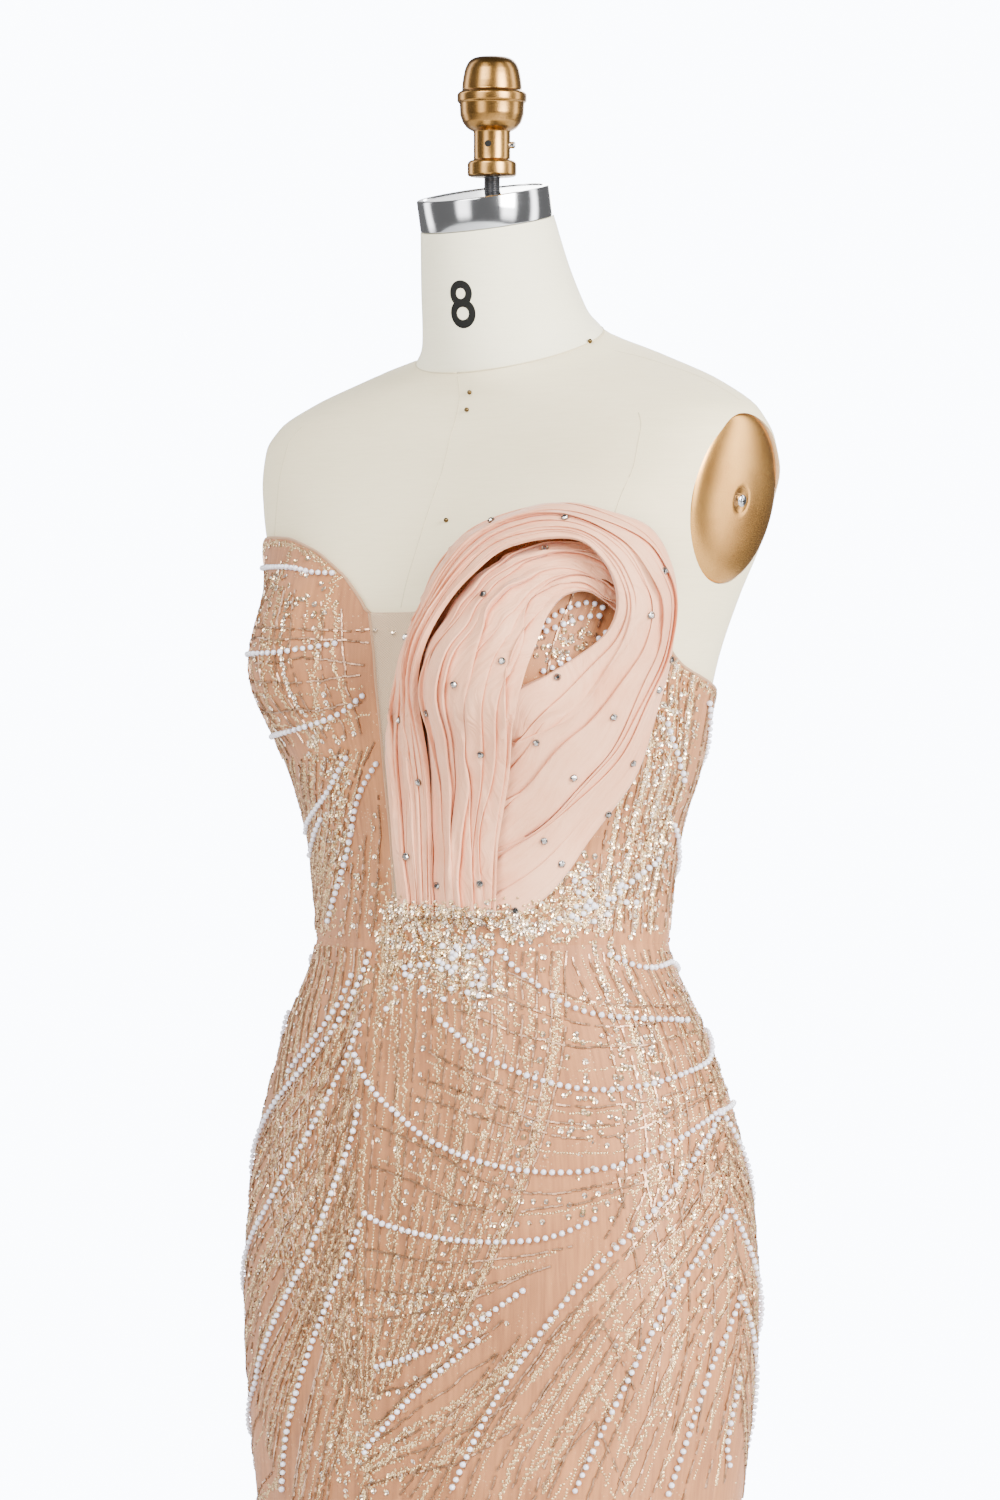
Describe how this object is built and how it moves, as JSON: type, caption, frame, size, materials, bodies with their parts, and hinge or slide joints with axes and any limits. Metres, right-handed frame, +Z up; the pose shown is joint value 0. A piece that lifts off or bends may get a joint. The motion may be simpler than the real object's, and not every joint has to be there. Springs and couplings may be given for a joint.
{
  "type": "evening dress on dress form",
  "caption": "Strapless floor-length beaded evening dress with a pleated chiffon rosette, worn by a padded limbless dress form on a pole and round base.",
  "frame": {"origin": "centre of the stand base's underside, on the floor under the pole", "axes": "+Z up along the pole, the gown faces -Y, its left side is +X"},
  "size_m": [0.6406, 0.6148, 1.669],
  "materials": {
    "linen": "cream linen stretched smooth over padding",
    "steel": "polished steel",
    "black_steel": "black painted steel",
    "gold_paint": "satin gold paint",
    "sheer_mesh": "nude stretch mesh",
    "beaded_satin": "nude satin under net with pearls, sequins and bugle beads",
    "chiffon": "matte blush chiffon in pleats, with scattered stones",
    "zip_metal": "nude enamelled zip metal"
  },
  "bodies": {
    "dressed_form": {"form_torso": "linen", "form_neck": "linen", "neck_cap": "steel", "neck_rod": "black_steel", "finial": "gold_paint", "finial_screw": "steel", "arm_plate_left": "gold_paint", "arm_plate_right": "gold_paint", "arm_screw_left": "steel", "arm_screw_right": "steel", "stand_pole": "steel", "stand_base": "black_steel", "plunge_insert": "sheer_mesh", "bodice_front_left": "beaded_satin", "bodice_front_right": "beaded_satin", "bodice_side_left": "beaded_satin", "bodice_side_right": "beaded_satin", "bodice_back_left": "beaded_satin", "bodice_back_right": "beaded_satin", "skirt_front": "beaded_satin", "skirt_back_left": "beaded_satin", "skirt_back_right": "beaded_satin", "rosette_outer_band": "chiffon", "rosette_inner_band": "chiffon", "zip_slider": "zip_metal"},
    "pull_tab": {"zip_pull": "zip_metal"}
  },
  "joints": [
    {"name": "zip_pull_swing", "type": "hinge", "parent": "dressed_form", "child": "pull_tab", "pos_m": [0, 0.11539, 1.22459], "axis": [1, 0, 0], "range_deg": [-8, 150]}
  ]
}
